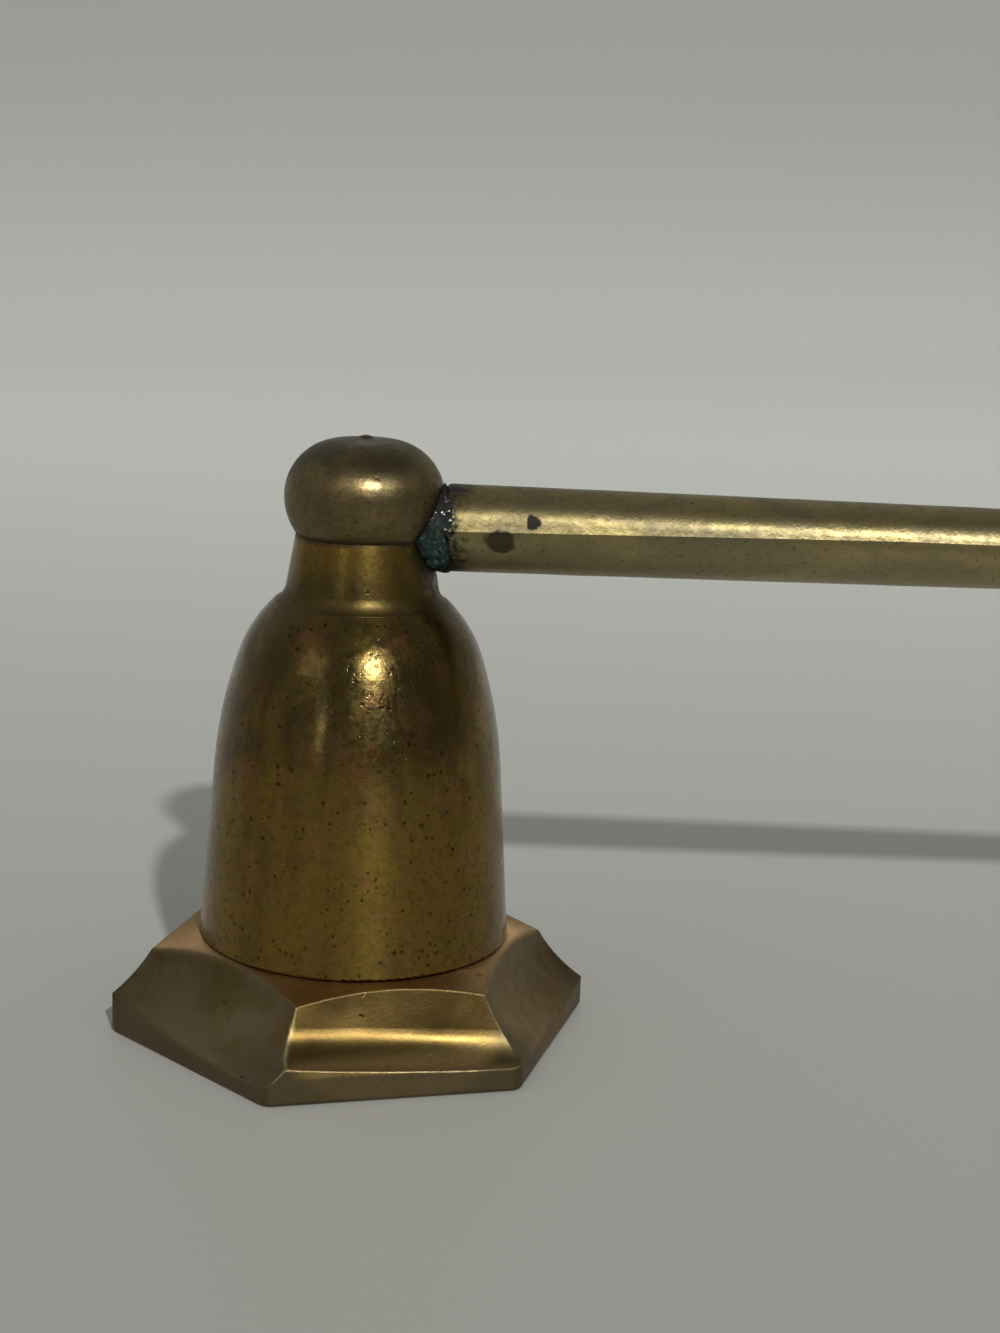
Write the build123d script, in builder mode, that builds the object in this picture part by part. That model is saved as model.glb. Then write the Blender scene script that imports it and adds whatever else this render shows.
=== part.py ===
from build123d import *
from math import atan2, cos, degrees, radians, sin, sqrt, tan
import os

# Brass candle snuffer that stands upright on its bell's six-sided foot, with a level soldered handle.
# Millimetres. The origin is the centre of the mouth on the base plane, +Z is up and +X runs along the handle.

# Foot
foot_across_flats = 34.7
foot_corner_radius = 1.2
foot_turn = 14.8              # degrees from the handle to the nearest corner
foot_bottom_round = 0.4
foot_ledge_height = 7.85      # where the bell's shoulder sits
foot_ledge_slope = 16.6       # degrees the ledge falls towards the corners
ledge_width = 0.85            # ledge left between the bell and the top of a facet
facet_low_height = 2.29       # lower edge of the facets, in the middle of a side
facet_hollow = 14.0           # radius of a facet's hollow from bottom to top
front_facet = 4               # number of the deepest facet, counted round from the handle
front_facet_drop = 3.0        # height of its straight upper part, above the hollow
front_facet_rake = 12.4908    # degrees its straight part is steeper than a line from rim to ledge
front_facet_margin = 2.0      # how far its cut runs past the rim and the ledge
facet_bow = 90.0              # radius of the hollows from end to end
facet_swing = 15.0            # degrees a hollow runs to each side of its middle
facet_depths = (0.65, 0.4, -0.26, 0.67, -0.02, 0.49)  # how far each hand-ground facet is set in
facet_tilts = (0.0, 0.0, 0.0, -4.1, -3.65, 1.27)     # degrees each facet is out of level
mouth_radius = 10.0
mouth_lip_height = 3.0        # lip that the bell's spigot stands on

# Bell, with heights measured from its seat on the foot
bell_foot_radius = 12.68
bell_foot_round = 0.25
bell_waist_radius = 11.62
bell_waist_rise = 14.45
bell_shoulder_radius = 9.79
bell_shoulder_rise = 23.43
bell_crown_radius = 7.0
bell_crown_rise = 27.74
bell_wall = 1.7
spigot_step = 0.43            # shoulder that rests on the foot

# Collar and knob, with heights measured from the piece below
collar_flare_rise = 1.15
collar_waist_radius = 6.12
collar_top_radius = 5.42
collar_height = 5.36
knob_radius = 6.39
knob_seat_radius = 5.39
knob_equator_rise = 3.05
knob_upper_round = 4.52
knob_cap_rise = 0.15
knob_pip_radius = 0.65
knob_pip_height = 0.22

# Screw and washer inside the bell
screw_radius = 1.5
screw_bite = 5.0              # length of screw inside the knob
screw_tip_space = 0.4
screw_head_radius = 2.8
screw_head_height = 1.7
screw_slot_width = 0.7
screw_slot_depth = 0.8
washer_radius = 4.3
washer_thickness = 0.7

# Handle, with distances measured from its root end
handle_rise = 0.8             # handle axis above the seam between collar and knob
handle_root_radius = 3.5
handle_root_round = 0.35
handle_belly_radius = 3.35
handle_belly_distance = 24.2
handle_tip_radius = 1.9
handle_length = 150.0
handle_wall = 0.7
solder_film = 0.15            # least solder between the knob and the handle's root
solder_radius = 3.62
solder_depth = 2.4
solder_bead_round = 0.5

# Knob that closes the handle's far end
end_flange_radius = 2.9
end_flange_thickness = 1.2
end_neck_radius = 1.6
end_neck_length = 1.4
end_ball_radius = 3.3
end_spigot_length = 6.0

# Clearances
seat_clearance = 0.05         # round fits between turned pieces
solder_clearance = 0.03       # solder round the knob and collar

# Heights of the seats, from the base up
bell_seat = foot_ledge_height
crown_height = bell_seat + bell_crown_rise
seam_height = crown_height + collar_height
equator_height = seam_height + knob_equator_rise
handle_axis_height = seam_height + handle_rise
handle_root = knob_radius + solder_film
handle_tip = handle_root + handle_length
handle_axis = Axis((0, 0, handle_axis_height), (1, 0, 0))
bell_ceiling = crown_height - bell_wall
screw_hole_radius = screw_radius + seat_clearance
spigot_radius = bell_foot_radius - spigot_step
rim_apothem = foot_across_flats / 2
facet_run = rim_apothem - bell_foot_radius - ledge_width
facet_rise = foot_ledge_height - facet_low_height
facet_middle = facet_low_height + facet_rise / 2
front_facet_lean = degrees(atan2(facet_run, facet_rise)) - front_facet_rake


def bell_side(inset):
    """The bell's waist, shoulder and crown points, drawn in by a wall where one is given."""
    skirt_lean = atan2(bell_foot_radius - bell_waist_radius, bell_waist_rise)
    chord_lean = atan2(bell_waist_radius - bell_shoulder_radius, bell_shoulder_rise - bell_waist_rise)
    shoulder_lean = 2 * chord_lean - skirt_lean
    waist = (bell_waist_radius - inset, bell_seat + bell_waist_rise)
    shoulder = (
        bell_shoulder_radius - inset * cos(shoulder_lean),
        bell_seat + bell_shoulder_rise - inset * sin(shoulder_lean),
    )
    crown = (bell_crown_radius - inset, crown_height - inset)
    return waist, shoulder, crown


def swung(profile, swing_radius):
    """A facet's profile on the +X side, swung to both ends of the side about an upright axis."""
    with BuildPart() as cut:
        for swing in (-facet_swing, facet_swing):
            revolve(profile, axis=Axis((swing_radius, 0, 0), (0, 0, 1)), revolution_arc=swing)
    return cut.part


os.makedirs("parts", exist_ok=True)

# Hollow of the plain facets: one arc from the rim up to the ledge
with BuildSketch(Plane.XZ) as plain_facet:
    chord = sqrt(facet_run**2 + facet_rise**2)
    reach = sqrt(facet_hollow**2 - (chord / 2) ** 2)
    hollow_apothem = rim_apothem - facet_run / 2 + reach * facet_rise / chord
    with Locations((hollow_apothem, reach * facet_run / chord)):
        Circle(facet_hollow)
        Rectangle(facet_hollow, 2 * facet_hollow, align=(Align.MIN, Align.CENTER), mode=Mode.SUBTRACT)

# Hollow of the front facet: straight from the ledge down, then an arc out to the rim
with BuildSketch(Plane.XZ) as coved_facet:
    with BuildLine():
        upper_edge = Vector(rim_apothem - facet_run, facet_rise / 2)
        lean = Vector(sin(radians(front_facet_lean)), -cos(radians(front_facet_lean)))
        drop = Line(
            upper_edge - lean * front_facet_margin,
            upper_edge + lean * front_facet_drop / cos(radians(front_facet_lean)),
        )
        cove = TangentArc(drop @ 1, (rim_apothem, -facet_rise / 2), tangent=lean)
        brim = Line(cove @ 1, cove @ 1 + (cove % 1) * front_facet_margin)
        Polyline(brim @ 1, ((brim @ 1).X, (drop @ 0).Y), drop @ 0)
    make_face()

plain_cut = swung(plain_facet.sketch, hollow_apothem + facet_bow - facet_hollow)
front_cut = swung(coved_facet.sketch, rim_apothem + facet_bow)

# Six-sided foot: an upright rim, six hollow-ground facets, a turned ledge and a stepped bore
with BuildPart() as hex_foot:
    with BuildSketch() as rim:
        RegularPolygon(rim_apothem, 6, major_radius=False, rotation=foot_turn)
        fillet(rim.vertices(), foot_corner_radius)
    extrude(amount=foot_ledge_height)
    for side, (depth, tilt) in enumerate(zip(facet_depths, facet_tilts)):
        facet_place = Rot(0, 0, foot_turn + 30 + 60 * side) * Pos(-depth, 0, facet_middle) * Rot(tilt, 0, 0)
        add(facet_place * (front_cut if side == front_facet else plain_cut), mode=Mode.SUBTRACT)
    with BuildSketch(Plane.XZ):
        with BuildLine():
            ledge_fall = rim_apothem * tan(radians(foot_ledge_slope))
            Polyline(
                (bell_foot_radius, bell_seat),
                (bell_foot_radius + rim_apothem, bell_seat - ledge_fall),
                (bell_foot_radius + rim_apothem, bell_seat),
                close=True,
            )
        make_face()
    revolve(axis=Axis.Z, mode=Mode.SUBTRACT)
    fillet(hex_foot.edges().filter_by_position(Axis.Z, 0, 0), foot_bottom_round)
    with BuildSketch():
        Circle(mouth_radius)
    extrude(amount=foot_ledge_height, mode=Mode.SUBTRACT)
    with BuildSketch(Plane.XY.offset(mouth_lip_height)):
        Circle(spigot_radius + seat_clearance)
    extrude(amount=foot_ledge_height, mode=Mode.SUBTRACT)
hex_foot.part.label = "hex_foot"
export_step(hex_foot.part, "parts/hex_foot.step")

# Bell: one turned wall from the spigot in the foot up to the pierced crown
with BuildPart() as bell_cup:
    with BuildSketch(Plane.XZ):
        with BuildLine():
            waist, shoulder, crown = bell_side(0)
            inner_waist, inner_shoulder, inner_crown = bell_side(bell_wall)
            inner_radius = bell_foot_radius - bell_wall
            base = Polyline(
                (inner_radius, mouth_lip_height),
                (spigot_radius, mouth_lip_height),
                (spigot_radius, bell_seat),
                (bell_foot_radius - bell_foot_round, bell_seat),
            )
            lip = RadiusArc(base @ 1, (bell_foot_radius, bell_seat + bell_foot_round), -bell_foot_round)
            skirt = Line(lip @ 1, waist)
            side = TangentArc(waist, shoulder, tangent=skirt % 1)
            TangentArc(shoulder, crown, tangent=side % 1)
            Polyline(crown, (screw_hole_radius, crown_height), (screw_hole_radius, bell_ceiling), inner_crown)
            inner_skirt = Line((inner_radius, bell_seat), inner_waist)
            Line((inner_radius, mouth_lip_height), inner_skirt @ 0)
            inner_side = TangentArc(inner_waist, inner_shoulder, tangent=inner_skirt % 1)
            TangentArc(inner_shoulder, inner_crown, tangent=inner_side % 1)
        make_face()
    revolve(axis=Axis.Z)
bell_cup.part.label = "bell_cup"
export_step(bell_cup.part, "parts/bell_cup.step")

# Collar: a straight taper that flares out to the bell's crown
with BuildPart() as neck_collar:
    with BuildSketch(Plane.XZ):
        with BuildLine():
            taper = Line((collar_top_radius, seam_height), (collar_waist_radius, crown_height + collar_flare_rise))
            flare = TangentArc(taper @ 1, (bell_crown_radius, crown_height), tangent=taper % 1)
            Polyline(
                flare @ 1,
                (screw_hole_radius, crown_height),
                (screw_hole_radius, seam_height),
                taper @ 0,
            )
        make_face()
    revolve(axis=Axis.Z)
neck_collar.part.label = "neck_collar"
export_step(neck_collar.part, "parts/neck_collar.step")

# Knob: squashed ball with a shallow cap, a turned pip and a blind hole for the screw
with BuildPart() as knob:
    with BuildSketch(Plane.XZ):
        with BuildLine():
            cap_radius = knob_radius - knob_upper_round
            cap_height = equator_height + knob_upper_round
            pip_height = cap_height + knob_cap_rise
            equator = (knob_radius, equator_height)
            under = TangentArc(equator, (knob_seat_radius, seam_height), tangent=(0, -1))
            RadiusArc(equator, (cap_radius, cap_height), -knob_upper_round)
            Line((cap_radius, cap_height), (knob_pip_radius, pip_height))
            pip_round = (knob_pip_radius**2 + knob_pip_height**2) / (2 * knob_pip_height)
            pip = RadiusArc((knob_pip_radius, pip_height), (0, pip_height + knob_pip_height), -pip_round)
            Polyline(pip @ 1, (0, seam_height), under @ 1)
        make_face()
    revolve(axis=Axis.Z)
    with BuildSketch(Plane.XY.offset(seam_height)):
        Circle(screw_hole_radius)
    extrude(amount=screw_bite + screw_tip_space, mode=Mode.SUBTRACT)
knob.part.label = "knob"
export_step(knob.part, "parts/knob.step")

# Washer under the bell's crown
with BuildPart() as screw_washer:
    with BuildSketch(Plane.XY.offset(bell_ceiling - washer_thickness)):
        Circle(washer_radius)
        Circle(screw_hole_radius, mode=Mode.SUBTRACT)
    extrude(amount=washer_thickness)
screw_washer.part.label = "screw_washer"
export_step(screw_washer.part, "parts/screw_washer.step")

# Slotted screw that draws the collar and the knob on to the crown
with BuildPart() as centre_screw:
    head_top = bell_ceiling - washer_thickness
    with BuildSketch(Plane.XY.offset(head_top - screw_head_height)):
        Circle(screw_head_radius)
    extrude(amount=screw_head_height)
    with BuildSketch(Plane.XY.offset(head_top)):
        Circle(screw_radius)
    extrude(amount=seam_height + screw_bite - head_top)
    with BuildSketch(Plane.XY.offset(head_top - screw_head_height)):
        Rectangle(2 * screw_head_radius, screw_slot_width)
    extrude(amount=screw_slot_depth, mode=Mode.SUBTRACT)
centre_screw.part.label = "centre_screw"
export_step(centre_screw.part, "parts/centre_screw.step")

# Handle: tapered tube, square at the root, open at both ends
with BuildPart() as handle_tube:
    with BuildSketch(Plane.XZ):
        with BuildLine():
            belly = handle_root + handle_belly_distance
            for inset in (0, handle_wall):
                Spline(
                    (handle_root, handle_axis_height + handle_root_radius - inset),
                    (belly, handle_axis_height + handle_belly_radius - inset),
                    (handle_tip, handle_axis_height + handle_tip_radius - inset),
                )
            for end, radius in ((handle_root, handle_root_radius), (handle_tip, handle_tip_radius)):
                outer_edge = handle_axis_height + radius
                Line((end, outer_edge), (end, outer_edge - handle_wall))
        make_face()
    revolve(axis=handle_axis)
    root_edge = handle_tube.edges().filter_by(GeomType.CIRCLE).group_by(Axis.X)[0].sort_by(SortBy.RADIUS)[-1]
    fillet(root_edge, handle_root_round)
handle_tube.part.label = "handle_tube"
export_step(handle_tube.part, "parts/handle_tube.step")

# Solder between the handle's root and the round of the knob and collar
with BuildPart() as solder_joint:
    with BuildSketch(Plane.YZ.offset(handle_root - solder_depth)):
        with Locations((0, handle_axis_height)):
            Circle(solder_radius)
    extrude(amount=solder_depth)
    fillet(solder_joint.edges().filter_by(GeomType.CIRCLE).group_by(Axis.X)[-1], solder_bead_round)
    offset(knob.part, amount=solder_clearance, mode=Mode.SUBTRACT)
    offset(neck_collar.part, amount=solder_clearance, mode=Mode.SUBTRACT)
solder_joint.part.label = "solder_joint"
export_step(solder_joint.part, "parts/solder_joint.step")

# Turned knob that closes the handle's far end, with a spigot inside the tube
with BuildPart() as end_knob:
    with BuildSketch(Plane.XZ):
        with BuildLine():
            spigot_end = handle_tip - end_spigot_length
            bore_radius = handle_tip_radius - handle_wall - seat_clearance
            flange_end = handle_tip + end_flange_thickness
            ball_start = flange_end + end_neck_length
            ball_centre = ball_start + sqrt(end_ball_radius**2 - end_neck_radius**2)
            rim = [
                (spigot_end, 0),
                (spigot_end, bore_radius),
                (handle_tip, bore_radius),
                (handle_tip, end_flange_radius),
                (flange_end, end_flange_radius),
                (flange_end, end_neck_radius),
                (ball_start, end_neck_radius),
            ]
            Polyline(*[(along, handle_axis_height + out) for along, out in rim])
            ball_end = (ball_centre + end_ball_radius, handle_axis_height)
            ThreePointArc(
                (ball_start, handle_axis_height + end_neck_radius),
                (ball_centre, handle_axis_height + end_ball_radius),
                ball_end,
            )
            Line(ball_end, (spigot_end, handle_axis_height))
        make_face()
    revolve(axis=handle_axis)
end_knob.part.label = "end_knob"
export_step(end_knob.part, "parts/end_knob.step")
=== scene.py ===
from math import cos, radians, sin

import bmesh
import bpy
from mathutils import Matrix, Vector, noise


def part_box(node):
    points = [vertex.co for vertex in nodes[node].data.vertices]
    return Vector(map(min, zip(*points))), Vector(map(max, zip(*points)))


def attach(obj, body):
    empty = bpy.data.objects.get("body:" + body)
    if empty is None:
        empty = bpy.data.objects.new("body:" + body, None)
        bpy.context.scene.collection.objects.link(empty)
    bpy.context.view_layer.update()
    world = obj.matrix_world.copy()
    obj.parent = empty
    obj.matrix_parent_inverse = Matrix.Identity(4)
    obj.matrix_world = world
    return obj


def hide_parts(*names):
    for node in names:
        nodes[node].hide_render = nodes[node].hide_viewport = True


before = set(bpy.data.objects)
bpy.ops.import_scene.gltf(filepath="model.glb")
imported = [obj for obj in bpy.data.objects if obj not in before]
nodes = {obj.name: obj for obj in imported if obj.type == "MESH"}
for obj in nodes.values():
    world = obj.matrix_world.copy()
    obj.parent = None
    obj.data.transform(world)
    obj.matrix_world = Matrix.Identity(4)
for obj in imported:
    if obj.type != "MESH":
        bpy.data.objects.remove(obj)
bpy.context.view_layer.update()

# Aged brass candle snuffer on a pale grey sweep. Metres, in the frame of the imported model.

scene = bpy.context.scene
MM = 0.001

# Camera and light, as read from the photograph
camera_place = Vector((11.27, -179.17, 71.53)) * MM
camera_pitch = 12.885     # degrees below the horizon
camera_roll = 2.235
camera_lens = 61.44       # mm on a 36 mm long side
key_azimuth = -73.0       # degrees, with 0 along the handle and -90 towards the camera
key_elevation = 36.0
room_light = 0.45         # even light on the floor and in the shadows
# The floor's colour runs from darker near the camera to paler at the back, then to the wall's tone:
# painted light
floor_near = (0.31, 0.311, 0.285)
floor_far = (0.70, 0.707, 0.668)
wall_colour = (0.45, 0.456, 0.42)

# Brass colours, as linear reflectance
bell_gold = (0.23, 0.148, 0.030)
bell_olive = (0.099, 0.072, 0.024)
copper_tint = (0.24, 0.115, 0.042)
knob_brown = (0.18, 0.137, 0.06)
knob_dark = (0.08, 0.066, 0.038)
foot_brown = (0.15, 0.115, 0.062)
foot_gold = (0.132, 0.086, 0.026)
ledge_copper = (0.355, 0.228, 0.108)
ledge_pale = (0.55, 0.37, 0.19)
# Bright brass on the foot's worn edges, also a painted highlight along them
worn_edge_and_highlight = (0.80, 0.62, 0.33)
# Painted highlight on the front facet's lower lip
brim_highlight_gold = (0.40, 0.275, 0.11)
handle_pale = (0.33, 0.265, 0.105)
handle_brown = (0.245, 0.203, 0.105)
# Paler brass painted on the handle's underside: a painted reflection of the floor below
handle_floor_reflection = (0.43, 0.36, 0.205)
# Dark dirt, also used for painted shade in the seams and around the handle's joint
grime_and_shade = (0.035, 0.03, 0.022)
pit_brown = (0.022, 0.015, 0.008)
blue_black = (0.03, 0.032, 0.042)
flux_black = (0.013, 0.012, 0.011)
verdigris_green = (0.012, 0.03, 0.023)
verdigris_pale = (0.05, 0.09, 0.07)
tin_white = (0.60, 0.60, 0.58)

# Places on the object, in millimetres
front_facet = (4.2, -15.6, 5.2)
front_left_edge = (-4.6, -17.0, 4.0)
right_facet = (14.6, -4.0, 5.0)
right_ledge = (13.0, -4.0, 8.0)
left_facet = (-13.0, -11.0, 4.5)
cove_height = 36.1            # the collar's flared foot
seam_height = 40.95           # between the collar and the knob
joint_corner = (6.6, -1.6, 41.0)
joint_green = (5.6, -3.2, 40.2)
handle_stain_small = (13.4, -3.24, 42.92)
handle_stain_large = (10.9, -3.4, 41.3)
handle_soot = (6.6, -0.6, 45.2)
handle_dirt_and_shade = (6.2, -1.5, 39.4)
handle_green = (6.6, -3.0, 41.0)
solder_glints = (6.5, -3.0, 43.3)
solder_green = (5.9, -2.9, 40.4)


# Small helpers for materials
def start_material(name):
    """A new material, its node tree, its shader and its coordinates in millimetres."""
    material = bpy.data.materials.new(name)
    material.use_nodes = True
    tree = material.node_tree
    shader = tree.nodes["Principled BSDF"]
    places = tree.nodes.new("ShaderNodeTexCoord")
    scale = tree.nodes.new("ShaderNodeVectorMath")
    scale.operation = "SCALE"
    scale.inputs["Scale"].default_value = 1 / MM
    tree.links.new(places.outputs["Object"], scale.inputs[0])
    return material, tree, shader, scale.outputs["Vector"]


def put(tree, socket, value):
    """Links a socket's value, or sets it where the value is a plain number or tuple."""
    if isinstance(value, bpy.types.NodeSocket):
        tree.links.new(value, socket)
    elif isinstance(value, tuple) and len(value) == 3 and socket.type == "RGBA":
        socket.default_value = (*value, 1)
    else:
        socket.default_value = value


def stretch(tree, coords, factors):
    """The coordinates, scaled differently along each axis."""
    node = tree.nodes.new("ShaderNodeVectorMath")
    node.operation = "MULTIPLY"
    put(tree, node.inputs[0], coords)
    put(tree, node.inputs[1], factors)
    return node.outputs["Vector"]


def cloud(tree, coords, scale, detail=4.0, roughness=0.55, distortion=0.0):
    """Soft noise with a scale in cells for each millimetre."""
    node = tree.nodes.new("ShaderNodeTexNoise")
    put(tree, node.inputs["Vector"], coords)
    node.inputs["Scale"].default_value = scale
    node.inputs["Detail"].default_value = detail
    node.inputs["Roughness"].default_value = roughness
    node.inputs["Distortion"].default_value = distortion
    return node.outputs["Fac"]


def span(tree, value, low, high, to_low=0.0, to_high=1.0):
    """A value brought from one range to another, and held at its ends."""
    node = tree.nodes.new("ShaderNodeMapRange")
    node.interpolation_type = "SMOOTHSTEP"
    for socket, setting in zip(node.inputs, (value, low, high, to_low, to_high)):
        put(tree, socket, setting)
    return node.outputs["Result"]


def maths(tree, operation, first, second=0.0):
    node = tree.nodes.new("ShaderNodeMath")
    node.operation = operation
    put(tree, node.inputs[0], first)
    put(tree, node.inputs[1], second)
    return node.outputs["Value"]


def blend(tree, factor, first, second):
    """A colour between two colours."""
    node = tree.nodes.new("ShaderNodeMix")
    node.data_type = "RGBA"
    put(tree, node.inputs["Factor"], factor)
    put(tree, node.inputs["A"], first)
    put(tree, node.inputs["B"], second)
    return node.outputs["Result"]


def axis_of(tree, vector, axis):
    node = tree.nodes.new("ShaderNodeSeparateXYZ")
    put(tree, node.inputs["Vector"], vector)
    return node.outputs[axis]


def near(tree, coords, centre, inner, outer, shape=(1.0, 1.0, 1.0), ragged=0.0):
    """1 close to a point in millimetres and 0 beyond the outer distance, with a ragged edge."""
    node = tree.nodes.new("ShaderNodeVectorMath")
    node.operation = "SUBTRACT"
    put(tree, node.inputs[0], coords)
    put(tree, node.inputs[1], centre)
    length = tree.nodes.new("ShaderNodeVectorMath")
    length.operation = "LENGTH"
    put(tree, length.inputs[0], stretch(tree, node.outputs["Vector"], shape))
    distance = length.outputs["Value"]
    if ragged:
        wobble = span(tree, cloud(tree, coords, 1.6, 3.0), 0.3, 0.7, -ragged, ragged)
        distance = maths(tree, "ADD", distance, wobble)
    return span(tree, distance, outer, inner)


def warp(tree, coords, scale, amount):
    """The coordinates, pushed about so that round shapes turn ragged."""
    push = tree.nodes.new("ShaderNodeTexNoise")
    put(tree, push.inputs["Vector"], coords)
    push.inputs["Scale"].default_value = scale
    shift = tree.nodes.new("ShaderNodeVectorMath")
    shift.operation = "MULTIPLY_ADD"
    put(tree, shift.inputs[0], push.outputs["Color"])
    put(tree, shift.inputs[1], (amount, amount, amount))
    put(tree, shift.inputs[2], coords)
    return shift.outputs["Vector"]


def pits(tree, coords, scale, share, size):
    """Small ragged pits in some of the cells of a random pattern, and in crowds."""
    cells = tree.nodes.new("ShaderNodeTexVoronoi")
    put(tree, cells.inputs["Vector"], warp(tree, coords, 2.2 * scale, 0.9 / scale))
    cells.inputs["Scale"].default_value = scale
    chance = axis_of(tree, cells.outputs["Color"], "X")
    crowd = span(tree, cloud(tree, coords, 0.2 * scale, 2.0), 0.38, 0.66, 1 - 0.15 * share, 1 - share)
    edge = span(tree, chance, crowd, 1.0, 0.0, size)
    return span(tree, cells.outputs["Distance"], edge, maths(tree, "MULTIPLY", edge, 0.4))


def crevice_dirt_and_shade(tree, reach, depth):
    """Painted shade, and dirt, in the seams between pieces, from ambient occlusion: none in the open, and
    the given depth where they are closest.
    """
    node = tree.nodes.new("ShaderNodeAmbientOcclusion")
    node.samples = 8
    node.inputs["Distance"].default_value = reach * MM
    return span(tree, node.outputs["AO"], 0.62, 0.25, 0.0, depth)


def rounded_edges(tree, radius):
    """The surface's direction with its sharp edges eased, by a radius in metres."""
    node = tree.nodes.new("ShaderNodeBevel")
    node.samples = 6
    put(tree, node.inputs["Radius"], radius)
    return node.outputs["Normal"]


def relief(tree, height, distance, normal=None):
    """Bumps from a height between 0 and 1, with the full step in millimetres."""
    node = tree.nodes.new("ShaderNodeBump")
    node.inputs["Strength"].default_value = 1.0
    node.inputs["Distance"].default_value = distance * MM
    put(tree, node.inputs["Height"], height)
    if normal is not None:
        put(tree, node.inputs["Normal"], normal)
    return node.outputs["Normal"]


def drawn_sheen(tree, shader, axis, amount, turn=0.25):
    """Worked metal: gloss drawn out across the tool's marks, along the axis or round it."""
    tangent = tree.nodes.new("ShaderNodeTangent")
    tangent.direction_type = "RADIAL"
    tangent.axis = axis
    tree.links.new(tangent.outputs["Tangent"], shader.inputs["Tangent"])
    shader.inputs["Anisotropic"].default_value = amount
    shader.inputs["Anisotropic Rotation"].default_value = turn


def dress(node_name, material):
    """Gives a CAD node its material."""
    mesh = nodes[node_name].data
    mesh.materials.clear()
    mesh.materials.append(material)


# Turned brass of the bell, the collar and the knob
def turned_brass(name, gold, olive, rosy_share, pit_share, tarnish_heights, gloss_range, sheen, turn):
    material, tree, shader, coords = start_material(name)
    height = axis_of(tree, coords, "Z")
    patches = cloud(tree, coords, 0.16, 5.0, 0.6, 0.6)
    streaks = cloud(tree, stretch(tree, coords, (1.0, 1.0, 0.1)), 0.5, 3.0)
    by_height = span(tree, height, *tarnish_heights, -0.4, 0.15)
    tarnish = maths(tree, "ADD", by_height, maths(tree, "MULTIPLY", patches, 1.3))
    tarnish = maths(tree, "ADD", tarnish, span(tree, streaks, 0.35, 0.65, -0.14, 0.14))
    colour = blend(tree, span(tree, tarnish, 0.22, 0.88), gold, olive)
    rosy = span(tree, cloud(tree, coords, 0.34, 5.0, 0.65, 0.8), 0.46, 0.68, 0.0, rosy_share)
    colour = blend(tree, rosy, colour, copper_tint)
    mottle = cloud(tree, warp(tree, coords, 0.8, 0.8), 1.5, 5.0, 0.65)
    colour = blend(tree, span(tree, mottle, 0.42, 0.70, 0.0, 0.5), colour, olive)
    speckle = span(tree, cloud(tree, coords, 3.4, 3.0, 0.7), 0.52, 0.74, 0.0, 0.5)
    colour = blend(tree, speckle, colour, pit_brown)
    fine_pits = pits(tree, coords, 1.9, pit_share, 0.45)
    large_pits = pits(tree, coords, 0.8, pit_share * 0.5, 0.24)
    pit = maths(tree, "MAXIMUM", fine_pits, large_pits)
    colour = blend(tree, maths(tree, "MULTIPLY", pit, 0.8), colour, pit_brown)
    # Painted shade: the collar's cove, and the bell's top edge beneath it, are darkened towards olive and
    # made rougher
    cove = near(tree, stretch(tree, coords, (0.0, 0.0, 1.0)), (0.0, 0.0, cove_height), 0.3, 1.2)
    colour = blend(tree, maths(tree, "MULTIPLY", cove, 0.7), colour, bell_olive)
    # Dirt, and painted shade, around the handle's joint and in the seams from ambient occlusion; the line
    # between collar and knob is a dark joint
    joint_dirt_and_shade = near(tree, coords, joint_corner, 1.6, 4.6, (1.0, 1.0, 0.8), 1.0)
    level = stretch(tree, coords, (0.0, 0.0, 1.0))
    seam = near(tree, level, (0.0, 0.0, seam_height), 0.05, 0.5, (1.0, 1.0, 1.0), 0.3)
    dirt_and_shade = maths(tree, "MAXIMUM", crevice_dirt_and_shade(tree, 0.5, 0.1), maths(tree, "MULTIPLY", joint_dirt_and_shade, 0.85))
    dirt_and_shade = maths(tree, "MAXIMUM", dirt_and_shade, maths(tree, "MULTIPLY", seam, 0.6))
    colour = blend(tree, dirt_and_shade, colour, grime_and_shade)
    bloom = near(tree, coords, joint_green, 0.6, 2.3, (1.0, 1.0, 0.8), 0.7)
    bloom = maths(tree, "MULTIPLY", bloom, span(tree, cloud(tree, coords, 2.6, 3.0), 0.5, 0.62))
    put(tree, shader.inputs["Base Color"], blend(tree, bloom, colour, verdigris_pale))
    shader.inputs["Metallic"].default_value = 1.0
    gloss = span(tree, maths(tree, "ADD", patches, mottle), 0.75, 1.3, *gloss_range)
    gloss = maths(tree, "ADD", gloss, maths(tree, "MULTIPLY", cove, 0.12))
    put(tree, shader.inputs["Roughness"], maths(tree, "ADD", gloss, maths(tree, "MULTIPLY", dirt_and_shade, 0.25)))
    rings = cloud(tree, stretch(tree, coords, (0.15, 0.15, 6.0)), 1.0, 3.0)
    grain = cloud(tree, coords, 5.0, 2.0)
    dents = cloud(tree, warp(tree, coords, 0.6, 1.0), 0.9, 3.0, 0.6)
    height_map = maths(tree, "MULTIPLY", rings, 0.5)
    height_map = maths(tree, "ADD", height_map, maths(tree, "MULTIPLY", grain, 0.6))
    height_map = maths(tree, "ADD", height_map, maths(tree, "MULTIPLY", dents, 3.0))
    height_map = maths(tree, "SUBTRACT", height_map, pit)
    put(tree, shader.inputs["Normal"], relief(tree, height_map, 0.010, rounded_edges(tree, 0.08 * MM)))
    drawn_sheen(tree, shader, "Z", sheen, turn)
    return material


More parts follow.
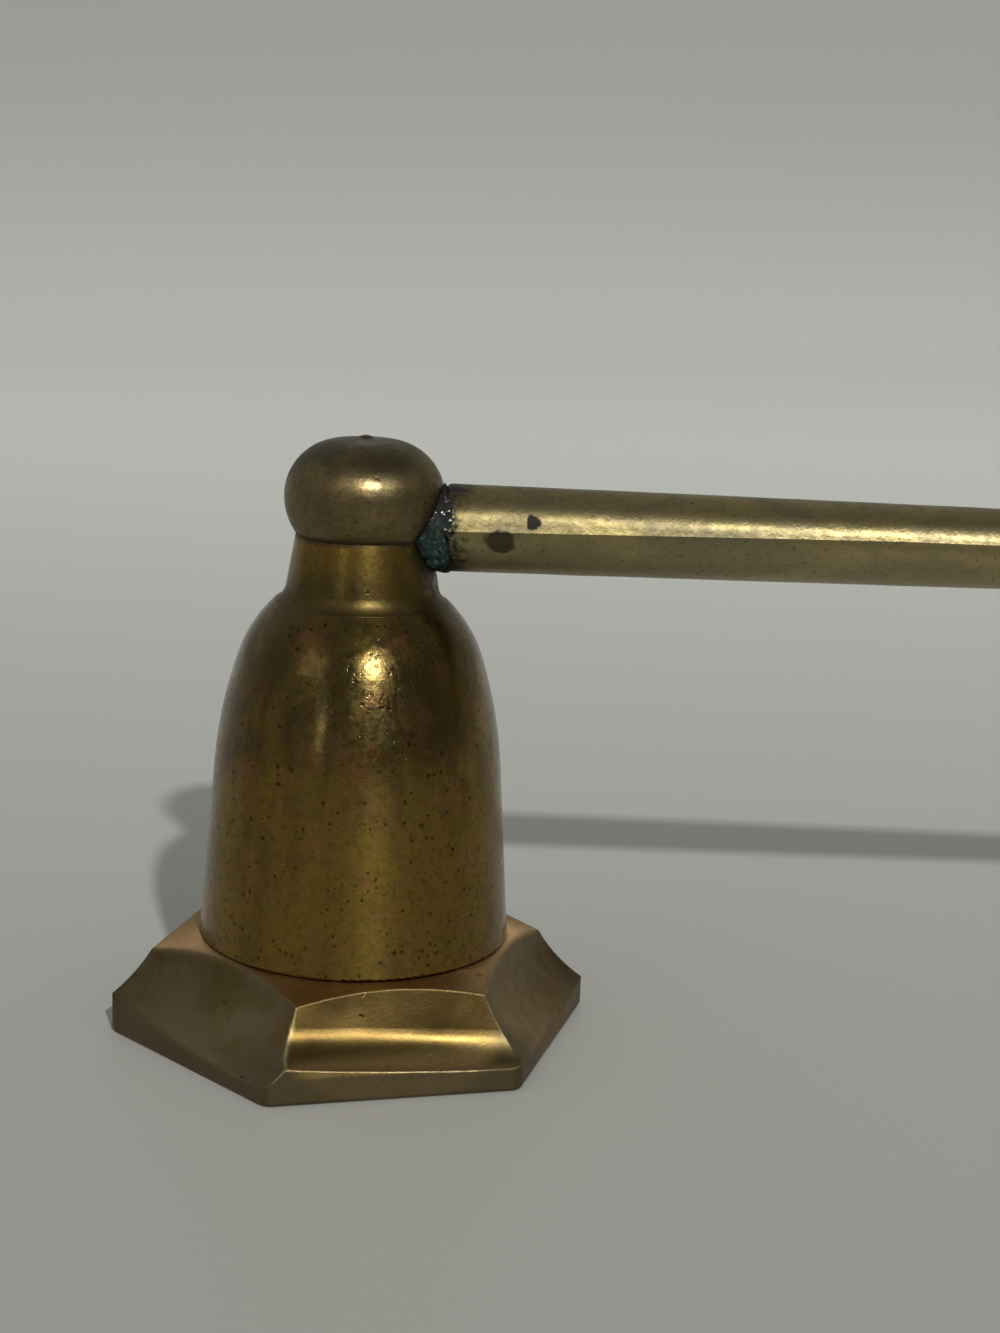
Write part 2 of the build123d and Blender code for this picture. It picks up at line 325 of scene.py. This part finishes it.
# Ground brass of the foot: dull facets, one of them polished, and a coppery ledge
def ground_brass():
    material, tree, shader, coords = start_material("foot_brass")
    height = axis_of(tree, coords, "Z")
    geometry = tree.nodes.new("ShaderNodeNewGeometry")
    front = near(tree, coords, front_facet, 7.4, 9.4, (1.0, 1.0, 1.4))
    ridge = near(tree, coords, front_left_edge, 1.8, 3.2)
    marked_side = near(tree, coords, right_facet, 6.0, 9.0)
    dull_side = near(tree, coords, left_facet, 6.5, 10.0)
    softness = maths(tree, "MAXIMUM", marked_side, dull_side)
    softness = maths(tree, "ADD", softness, maths(tree, "MULTIPLY", ridge, 0.4))
    eased = rounded_edges(tree, span(tree, softness, 0.0, 1.0, 0.2 * MM, 1.2 * MM))
    top = span(tree, axis_of(tree, eased, "Z"), 0.80, 0.96)

    patches = cloud(tree, coords, 0.2, 5.0, 0.6, 0.5)
    colour = blend(tree, span(tree, patches, 0.35, 0.65), foot_brown, bell_olive)
    colour = blend(tree, front, colour, foot_gold)
    # Painted highlight: the front facet's lower lip painted in bright gold
    brim_highlight = maths(tree, "MULTIPLY", front, span(tree, height, 3.7, 2.6, 0.0, 0.9))
    colour = blend(tree, brim_highlight, colour, brim_highlight_gold)
    rim = span(tree, height, 2.4, 2.0, 0.0, 0.9)
    colour = blend(tree, rim, colour, foot_brown)
    colour = blend(tree, top, colour, ledge_copper)
    rubbed_top = maths(tree, "MULTIPLY", top, near(tree, coords, right_ledge, 5.0, 9.0))
    colour = blend(tree, rubbed_top, colour, ledge_pale)
    mottle = cloud(tree, coords, 2.2, 3.0)
    colour = blend(tree, span(tree, mottle, 0.5, 0.8, 0.0, 0.4), colour, bell_olive)
    tool_marks = cloud(tree, stretch(tree, warp(tree, coords, 0.25, 3.0), (1.0, 1.0, 0.14)), 0.9, 2.0)
    marked = maths(tree, "MULTIPLY", marked_side, span(tree, tool_marks, 0.35, 0.65, 0.2, 0.36))
    colour = blend(tree, marked, colour, ledge_copper)
    edge = tree.nodes.new("ShaderNodeVectorMath")
    edge.operation = "DOT_PRODUCT"
    put(tree, edge.inputs[0], eased)
    put(tree, edge.inputs[1], geometry.outputs["Normal"])
    # Worn edges on the front facet and its left ridge, in bright brass: wear, and a painted highlight
    # along them
    rubbed = maths(tree, "MAXIMUM", front, ridge)
    worn_and_highlight = maths(tree, "MULTIPLY", span(tree, edge.outputs["Value"], 0.995, 0.93), rubbed)
    worn_and_highlight = maths(tree, "MULTIPLY", worn_and_highlight, span(tree, cloud(tree, coords, 0.7, 3.0), 0.4, 0.6, 0.25, 0.9))
    colour = blend(tree, worn_and_highlight, colour, worn_edge_and_highlight)
    pit = pits(tree, coords, 0.9, 0.35, 0.2)
    colour = blend(tree, maths(tree, "MULTIPLY", pit, 0.8), colour, pit_brown)
    # Painted shade in the foot's seams, from ambient occlusion
    put(tree, shader.inputs["Base Color"], blend(tree, crevice_dirt_and_shade(tree, 0.6, 0.2), colour, grime_and_shade))

    shader.inputs["Metallic"].default_value = 1.0
    dull = span(tree, patches, 0.3, 0.7, 0.36, 0.46)
    dull = maths(tree, "SUBTRACT", dull, maths(tree, "MULTIPLY", front, 0.08))
    dull = maths(tree, "ADD", dull, maths(tree, "MULTIPLY", top, 0.14))
    dull = maths(tree, "SUBTRACT", dull, maths(tree, "MULTIPLY", worn_and_highlight, 0.05))
    put(tree, shader.inputs["Roughness"], dull)
    grain = cloud(tree, coords, 4.0, 2.0)
    waves = cloud(tree, coords, 0.13, 1.0)
    height_map = maths(tree, "MULTIPLY", maths(tree, "MULTIPLY", tool_marks, marked_side), 1.6)
    height_map = maths(tree, "ADD", height_map, maths(tree, "MULTIPLY", waves, 22.0))
    height_map = maths(tree, "ADD", height_map, maths(tree, "MULTIPLY", grain, 0.3))
    height_map = maths(tree, "SUBTRACT", height_map, pit)
    put(tree, shader.inputs["Normal"], relief(tree, height_map, 0.015, eased))
    drawn_sheen(tree, shader, "Z", 0.75, 0.0)
    return material


# Drawn brass of the handle, paler than the bell, with stains near its root
def handle_brass(name):
    material, tree, shader, coords = start_material(name)
    patches = cloud(tree, stretch(tree, coords, (0.5, 1.0, 1.0)), 0.25, 5.0, 0.6, 0.6)
    colour = blend(tree, span(tree, patches, 0.35, 0.65), handle_pale, handle_brown)
    mottle = cloud(tree, warp(tree, coords, 0.8, 0.8), 1.2, 5.0, 0.65)
    colour = blend(tree, span(tree, mottle, 0.42, 0.68, 0.0, 0.6), colour, handle_brown)
    # Painted reflection: the handle's underside painted paler, as if lit from the floor
    underside_reflection = span(tree, axis_of(tree, coords, "Z"), 42.6, 39.4, 0.0, 0.6)
    colour = blend(tree, underside_reflection, colour, handle_floor_reflection)
    small_stain = near(tree, coords, handle_stain_small, 0.42, 0.66, (1.0, 1.0, 1.0), 0.12)
    large_stain = near(tree, coords, handle_stain_large, 0.82, 1.12, (0.82, 1.0, 1.05), 0.12)
    stains = maths(tree, "MAXIMUM", small_stain, maths(tree, "MULTIPLY", large_stain, 0.72))
    pit = pits(tree, coords, 1.1, 0.2, 0.22)
    soot = near(tree, coords, handle_soot, 0.6, 3.0, (1.0, 0.8, 1.0), 0.5)
    joint_dirt_and_shade = near(tree, coords, handle_dirt_and_shade, 0.4, 3.2, (1.0, 0.7, 1.0), 0.5)
    speckle = span(tree, cloud(tree, coords, 2.6, 3.0, 0.7), 0.54, 0.76, 0.0, 0.55)
    colour = blend(tree, speckle, colour, grime_and_shade)
    # Stains and pits, with dirt and painted shade under the joint and in the seams
    dirt_and_shade = maths(tree, "MAXIMUM", stains, maths(tree, "MULTIPLY", pit, 0.85))
    dirt_and_shade = maths(tree, "MAXIMUM", dirt_and_shade, maths(tree, "MAXIMUM", crevice_dirt_and_shade(tree, 0.6, 0.6), joint_dirt_and_shade))
    colour = blend(tree, dirt_and_shade, colour, grime_and_shade)
    smear = near(tree, coords, handle_green, 0.3, 1.9, (1.0, 0.6, 0.5), 0.7)
    smear = maths(tree, "MULTIPLY", smear, span(tree, cloud(tree, coords, 1.8, 4.0), 0.44, 0.56))
    colour = blend(tree, smear, colour, verdigris_green)
    put(tree, shader.inputs["Base Color"], blend(tree, soot, colour, blue_black))
    shader.inputs["Metallic"].default_value = 1.0
    gloss = span(tree, maths(tree, "ADD", patches, mottle), 0.75, 1.3, 0.50, 0.62)
    gloss = maths(tree, "SUBTRACT", gloss, span(tree, axis_of(tree, coords, "X"), 8.0, 42.0, 0.0, 0.1))
    put(tree, shader.inputs["Roughness"], maths(tree, "ADD", gloss, maths(tree, "MULTIPLY", dirt_and_shade, 0.3)))
    rings = cloud(tree, stretch(tree, coords, (5.0, 0.3, 0.3)), 1.0, 3.0)
    grain = cloud(tree, coords, 4.5, 2.0)
    height_map = maths(tree, "MULTIPLY", rings, 0.5)
    height_map = maths(tree, "ADD", height_map, maths(tree, "MULTIPLY", grain, 0.6))
    dents = cloud(tree, warp(tree, coords, 0.6, 1.0), 0.9, 3.0, 0.6)
    height_map = maths(tree, "ADD", height_map, maths(tree, "MULTIPLY", dents, 4.5))
    height_map = maths(tree, "SUBTRACT", height_map, maths(tree, "MULTIPLY", pit, 2.0))
    put(tree, shader.inputs["Normal"], relief(tree, height_map, 0.010))
    drawn_sheen(tree, shader, "X", 0.8)
    shader.inputs["Coat Weight"].default_value = 0.1
    shader.inputs["Coat Roughness"].default_value = 0.4
    return material


# Screw and washer inside the bell, less worn than the outside
def screw_brass():
    material, tree, shader, coords = start_material("screw_brass")
    patches = cloud(tree, coords, 0.5, 4.0)
    colour = blend(tree, span(tree, patches, 0.35, 0.7), foot_gold, foot_brown)
    # Painted shade in the screw's crevices, from ambient occlusion
    put(tree, shader.inputs["Base Color"], blend(tree, crevice_dirt_and_shade(tree, 0.6, 0.8), colour, grime_and_shade))
    shader.inputs["Metallic"].default_value = 1.0
    put(tree, shader.inputs["Roughness"], span(tree, patches, 0.3, 0.7, 0.3, 0.5))
    put(tree, shader.inputs["Normal"], relief(tree, cloud(tree, coords, 4.0, 2.0), 0.01))
    drawn_sheen(tree, shader, "Z", 0.5)
    return material


# Solder: grey tin with bright beads, green and black where it has corroded
def solder_metal():
    material, tree, shader, coords = start_material("solder")
    bright = near(tree, coords, solder_glints, 0.5, 1.7, (1.0, 1.0, 0.8))
    bright = maths(tree, "MULTIPLY", bright, span(tree, cloud(tree, coords, 2.2, 3.0), 0.59, 0.62))
    green = near(tree, coords, solder_green, 0.4, 2.4, (1.0, 0.8, 0.8), 0.7)
    speckle = span(tree, cloud(tree, coords, 2.6, 3.0), 0.52, 0.64)
    corroded = blend(tree, speckle, verdigris_green, verdigris_pale)
    colour = blend(tree, green, flux_black, corroded)
    put(tree, shader.inputs["Base Color"], blend(tree, bright, colour, tin_white))
    put(tree, shader.inputs["Metallic"], bright)
    shader.inputs["Specular IOR Level"].default_value = 0.1
    put(tree, shader.inputs["Roughness"], span(tree, bright, 0.0, 1.0, 0.6, 0.15))
    put(tree, shader.inputs["Normal"], relief(tree, cloud(tree, coords, 2.0, 4.0), 0.15))
    return material


def make_solder():
    """A lumpy bead in the place of the plain solder solid."""
    source = nodes["solder_joint"]
    tube_low, tube_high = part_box("handle_tube")
    axis_height = (tube_low[2] + tube_high[2]) / 2 / MM
    bead = bpy.data.objects.new("solder_bead", source.data.copy())
    scene.collection.objects.link(bead)
    remesh = bead.modifiers.new("even_mesh", "REMESH")
    remesh.mode = "VOXEL"
    remesh.voxel_size = 0.14 * MM
    shaped = bpy.data.meshes.new_from_object(bead.evaluated_get(bpy.context.evaluated_depsgraph_get()))
    bead.modifiers.clear()
    bead.data = shaped
    root = tube_low[0] / MM
    large_lump, small_lump = 0.22, 0.10
    lip_start = root - 0.5
    lip_inner, lip_outer, lip_radius = 3.05, 3.3, 3.62     # distances from the handle's axis
    lip_reach = 0.75                                       # how far the lip creeps along the handle
    for vertex in shaped.vertices:
        place = vertex.co / MM
        from_axis = Vector((0, place.y, place.z - axis_height))
        outward = from_axis.normalized()
        lump = noise.noise(place * 1.1) * large_lump + noise.noise(place * 2.7) * small_lump
        if place.x > lip_start and from_axis.length > lip_inner:
            raised = min(1.0, (from_axis.length - lip_inner) / (lip_outer - lip_inner))
            climb = (lip_radius - from_axis.length) * raised + 0.3 * abs(lump)
            ragged = 0.5 + noise.noise(place * 0.9 + Vector((7, 3, 1)))
            along = lip_reach * max(0.0, ragged) * max(0.0, (raised - 0.6) / 0.4)
            below_top = min(1.0, max(0.0, (0.95 - outward.z) / 0.3))
            vertex.co += (outward * climb + Vector((along, 0, 0))) * below_top * MM
        else:
            vertex.co += outward * lump * MM
    for polygon in shaped.polygons:
        polygon.use_smooth = True
    shaped.materials.clear()
    shaped.materials.append(solder_metal())
    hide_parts("solder_joint")
    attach(bead, "root")


def make_handle():
    """The handle's tube, with the fine ridge that runs along its front."""
    low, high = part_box("handle_tube")
    length = (high[0] - low[0]) / MM
    axis_height = (low[2] + high[2]) / 2 / MM
    root_radius, belly_radius, tip_radius = 3.5, 3.35, 1.9
    belly, wall = 24.2, 0.7     # place of the belly from the root, and thickness of the tube
    ridge_root, ridge_far = 4.0, 14.0     # degrees that the ridge lies above the front
    flat_root, flat_far = 14.0, 4.5       # degrees of the flat on each side of the ridge
    ridge_settles = 36.0                  # distance from the root at which both have their far value
    flat_steps, round_steps, outer_steps, bore_steps = 6, 80, 120, 20
    root_round = [(0.0, 0.35), (0.06, 0.17), (0.18, 0.06), (0.35, 0.0)]     # distance along, and inset

    def radius(along):
        """A curve through the radii at the root, the belly and the tip."""
        from_root = root_radius * (along - belly) * (along - length) / (belly * length)
        from_belly = belly_radius * along * (along - length) / (belly * (belly - length))
        from_tip = tip_radius * along * (along - belly) / (length * (length - belly))
        return from_root + from_belly + from_tip

    mesh = bmesh.new()

    def ridge_and_flat(along):
        """The ridge's angle and the width of its flats at a distance from the root."""
        share = min(1.0, along / ridge_settles)
        return ridge_root + (ridge_far - ridge_root) * share, flat_root + (flat_far - flat_root) * share

    def ring_angles(along):
        """Angles round the tube, close together on the flats."""
        middle, flat = ridge_and_flat(along)
        close = [middle + step * flat / flat_steps for step in range(-flat_steps, flat_steps + 1)]
        wide = [middle + flat + (360 - 2 * flat) * step / round_steps for step in range(1, round_steps)]
        return close + wide

    def bore_ring(along):
        return [place_on_ring(along, radius(along) - wall, angle) for angle in ring_angles(along)]

    def outer_ring(along, inset):
        """A ring of the outside, with a corner at the ridge and slight unevenness from handling."""
        ring = []
        middle, flat = ridge_and_flat(along)
        for angle in ring_angles(along):
            away = abs(angle - middle)
            corner = 1 / cos(radians(flat - away)) if away < flat else 1.0
            spot = Vector((along * 0.25, cos(radians(angle)) * 2.0, sin(radians(angle)) * 2.0))
            reach = (radius(along) - inset) * corner + 0.02 * noise.noise(spot)
            ring.append(place_on_ring(along, reach, angle))
        return ring

    def place_on_ring(along, reach, angle):
        across, up = -reach * cos(radians(angle)), reach * sin(radians(angle))
        return mesh.verts.new(Vector((low[0] / MM + along, across, axis_height + up)) * MM)

    first = root_round[-1][0]
    stations = list(root_round)
    for step in range(1, outer_steps + 1):
        stations.append((first + (length - first) * step / outer_steps, 0.0))
    outside = [outer_ring(along, inset) for along, inset in stations]
    bore = [bore_ring(length * step / bore_steps) for step in range(bore_steps, -1, -1)]
    rings = outside + bore
    for ring, after in zip(rings, rings[1:] + rings[:1]):
        for number in range(len(ring)):
            beside = (number + 1) % len(ring)
            mesh.faces.new((ring[number], after[number], after[beside], ring[beside])).smooth = True
    for ring, after in zip(outside, outside[1:]):
        mesh.edges.get((ring[flat_steps], after[flat_steps])).smooth = False
    for ring in (outside[0], outside[-1], bore[0], bore[-1]):
        for vertex, beside in zip(ring, ring[1:] + ring[:1]):
            mesh.edges.get((vertex, beside)).smooth = False
    bmesh.ops.recalc_face_normals(mesh, faces=mesh.faces)
    data = bpy.data.meshes.new("handle")
    mesh.to_mesh(data)
    mesh.free()
    handle = bpy.data.objects.new("handle", data)
    scene.collection.objects.link(handle)
    data.materials.append(handle_brass("handle_brass"))
    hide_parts("handle_tube")
    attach(handle, "root")


dress("bell_cup", turned_brass(
    "bell_brass", bell_gold, bell_olive, rosy_share=0.6, pit_share=0.8,
    tarnish_heights=(14.0, 30.0), gloss_range=(0.15, 0.32), sheen=0.36, turn=0.25,
))
# The collar's tarnish runs downward, darkening it towards its foot: tarnish, and painted shade over the
# cove
dress("neck_collar", turned_brass(
    "collar_brass", bell_gold, bell_olive, rosy_share=0.3, pit_share=0.2,
    tarnish_heights=(42.0, 35.5), gloss_range=(0.26, 0.36), sheen=0.3, turn=0.25,
))
dress("knob", turned_brass(
    "knob_brass", knob_brown, knob_dark, rosy_share=0.15, pit_share=0.14,
    tarnish_heights=(44.0, 48.5), gloss_range=(0.31, 0.46), sheen=0.5, turn=0.0,
))
dress("hex_foot", ground_brass())
dress("end_knob", handle_brass("end_knob_brass"))
screw_material = screw_brass()
dress("centre_screw", screw_material)
dress("screw_washer", screw_material)
make_solder()
make_handle()


# Pale sweep: a floor that curves up into a wall
def make_sweep():
    half_width = 1.6
    front, bend_start, bend_radius, wall_top = -1.6, 0.6, 0.8, 1.6
    bend_steps = 24
    profile = [(front, 0.0), (-0.4, 0.0), (0.0, 0.0)]
    for step in range(bend_steps + 1):
        angle = radians(90 * step / bend_steps)
        profile.append((bend_start + bend_radius * sin(angle), bend_radius * (1 - cos(angle))))
    profile.append((bend_start + bend_radius, wall_top))
    mesh = bmesh.new()
    rows = [[mesh.verts.new((side, y, z)) for side in (-half_width, half_width)] for y, z in profile]
    for low, high in zip(rows, rows[1:]):
        mesh.faces.new((low[0], low[1], high[1], high[0])).smooth = True
    data = bpy.data.meshes.new("sweep")
    mesh.to_mesh(data)
    mesh.free()
    sweep = bpy.data.objects.new("sweep", data)
    scene.collection.objects.link(sweep)
    material, tree, shader, coords = start_material("pale_paper")
    back = axis_of(tree, coords, "Y")
    # Painted light: the floor paler towards the back, then the wall's tone
    tone = blend(tree, span(tree, back, -130.0, 440.0), floor_near, floor_far)
    tone = blend(tree, span(tree, back, 600.0, 1100.0), tone, wall_colour)
    put(tree, shader.inputs["Base Color"], tone)
    put(tree, shader.inputs["Normal"], relief(tree, cloud(tree, coords, 0.8, 4.0), 0.02))
    shader.inputs["Roughness"].default_value = 0.5
    shader.inputs["Specular IOR Level"].default_value = 0.33
    data.materials.append(material)


make_sweep()


# Lights
def direction(azimuth, elevation):
    level = cos(radians(elevation))
    return Vector((level * cos(radians(azimuth)), level * sin(radians(azimuth)), sin(radians(elevation))))


def soft_box(name, azimuth, elevation, distance, width, height, power):
    """A rectangular lamp that faces the object."""
    data = bpy.data.lights.new(name, "AREA")
    data.shape = "RECTANGLE"
    data.size = width
    data.size_y = height
    data.energy = power
    lamp = bpy.data.objects.new(name, data)
    towards = direction(azimuth, elevation)
    lamp.location = Vector((0, 0, 0.03)) + towards * distance
    lamp.rotation_euler = towards.to_track_quat("Z", "Y").to_euler()
    scene.collection.objects.link(lamp)


soft_box("key", key_azimuth, key_elevation, distance=2.0, width=0.06, height=0.06, power=29.5)
soft_box("strip", -118.0, 10.0, distance=1.2, width=0.008, height=0.08, power=0.15)
soft_box("left_fill", -136.0, 31.0, distance=1.2, width=0.5, height=0.4, power=0.45)


# Room: even light, and a dim room in what the metal reflects
def make_room():
    world = bpy.data.worlds.new("room")
    scene.world = world
    world.use_nodes = True
    tree = world.node_tree
    background = tree.nodes["Background"]
    places = tree.nodes.new("ShaderNodeTexCoord")
    behind = span(tree, axis_of(tree, places.outputs["Generated"], "Y"), -0.1, 0.8, 0.0, 0.14)
    overhead = span(tree, axis_of(tree, places.outputs["Generated"], "Z"), 0.3, 0.95, 0.0, 0.06)
    left = span(tree, axis_of(tree, places.outputs["Generated"], "X"), 0.0, -0.9, 0.16, 0.26)
    dim = maths(tree, "ADD", maths(tree, "ADD", behind, overhead), left)
    path = tree.nodes.new("ShaderNodeLightPath")
    seen = maths(tree, "ADD", path.outputs["Is Camera Ray"], path.outputs["Is Glossy Ray"])
    seen = maths(tree, "MINIMUM", maths(tree, "ADD", seen, path.outputs["Is Transmission Ray"]), 1.0)
    level = tree.nodes.new("ShaderNodeMix")
    put(tree, level.inputs["Factor"], seen)
    put(tree, level.inputs["A"], room_light)
    put(tree, level.inputs["B"], dim)
    put(tree, background.inputs["Strength"], level.outputs["Result"])
    background.inputs["Color"].default_value = (1.0, 1.0, 0.97, 1.0)


make_room()


# Camera at the photograph's place
def make_camera():
    pitch = radians(camera_pitch)
    roll = radians(camera_roll)
    forward = Vector((0, cos(pitch), -sin(pitch)))
    level_up = Vector((0, sin(pitch), cos(pitch)))
    right = Vector((1, 0, 0)) * cos(roll) + level_up * sin(roll)
    up = level_up * cos(roll) - Vector((1, 0, 0)) * sin(roll)
    data = bpy.data.cameras.new("camera")
    data.lens = camera_lens
    data.sensor_width = 36
    data.clip_start = 0.01
    camera = bpy.data.objects.new("camera", data)
    turn = Matrix((right, up, -forward)).transposed().to_4x4()
    camera.matrix_world = Matrix.Translation(camera_place) @ turn
    scene.collection.objects.link(camera)
    scene.camera = camera


make_camera()
scene.view_settings.view_transform = "Standard"
